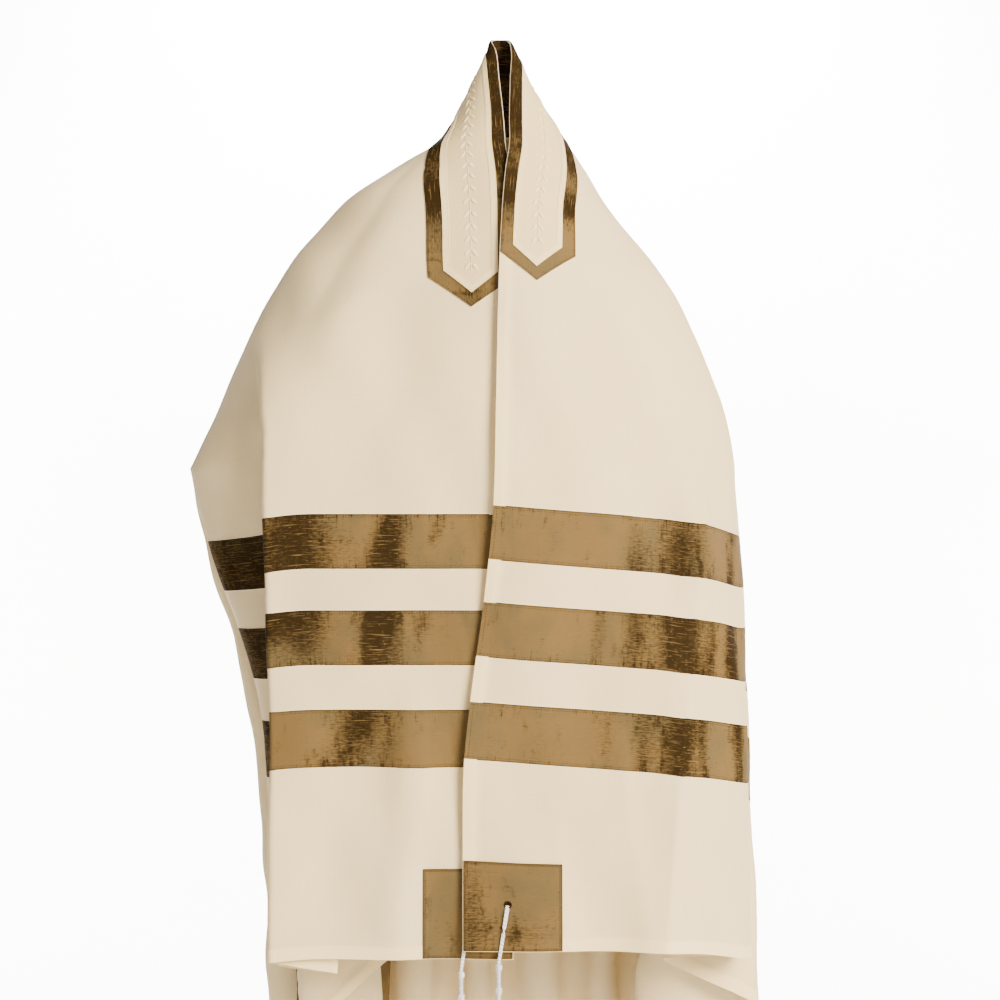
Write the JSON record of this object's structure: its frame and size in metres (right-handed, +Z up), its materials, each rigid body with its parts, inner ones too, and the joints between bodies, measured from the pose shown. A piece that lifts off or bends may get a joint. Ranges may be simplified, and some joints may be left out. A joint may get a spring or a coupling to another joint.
{
  "type": "prayer shawl",
  "caption": "Ivory fringed prayer shawl with gold-brown silk bands and a neck band, hanging open in its worn form: hollow, open at neck, front and hem.",
  "frame": {"origin": "the middle of the top of the neck opening, where the shawl is held", "axes": "+X to the viewer's right, the open front faces -Y, +Z up"},
  "size_m": [0.6397, 0.3087, 1.7858],
  "materials": {
    "ivory_wool": "fine matt wool weave",
    "gold_brown_silk": "slubbed dupioni silk with a soft sheen",
    "dark_brown_silk": "slubbed silk seen inside the neck",
    "white_wool_cord": "twisted white wool thread"
  },
  "bodies": {
    "root": {"centre_cloth": "ivory_wool", "collar_band": "gold_brown_silk", "collar_inlay": "ivory_wool", "end_panel_left": "ivory_wool", "end_panel_right": "ivory_wool", "fringe_back_left": "white_wool_cord", "fringe_back_right": "white_wool_cord", "fringe_front_left": "white_wool_cord", "fringe_front_right": "white_wool_cord", "ivory_band_1_left": "ivory_wool", "ivory_band_1_right": "ivory_wool", "ivory_band_2_left": "ivory_wool", "ivory_band_2_right": "ivory_wool", "neck_facing": "dark_brown_silk", "patch_back_left": "gold_brown_silk", "patch_back_right": "gold_brown_silk", "patch_front_left": "gold_brown_silk", "patch_front_right": "gold_brown_silk", "silk_stripe_1_left": "gold_brown_silk", "silk_stripe_1_right": "gold_brown_silk", "silk_stripe_2_left": "gold_brown_silk", "silk_stripe_2_right": "gold_brown_silk", "silk_stripe_3_left": "gold_brown_silk", "silk_stripe_3_right": "gold_brown_silk"}
  },
  "joints": []
}
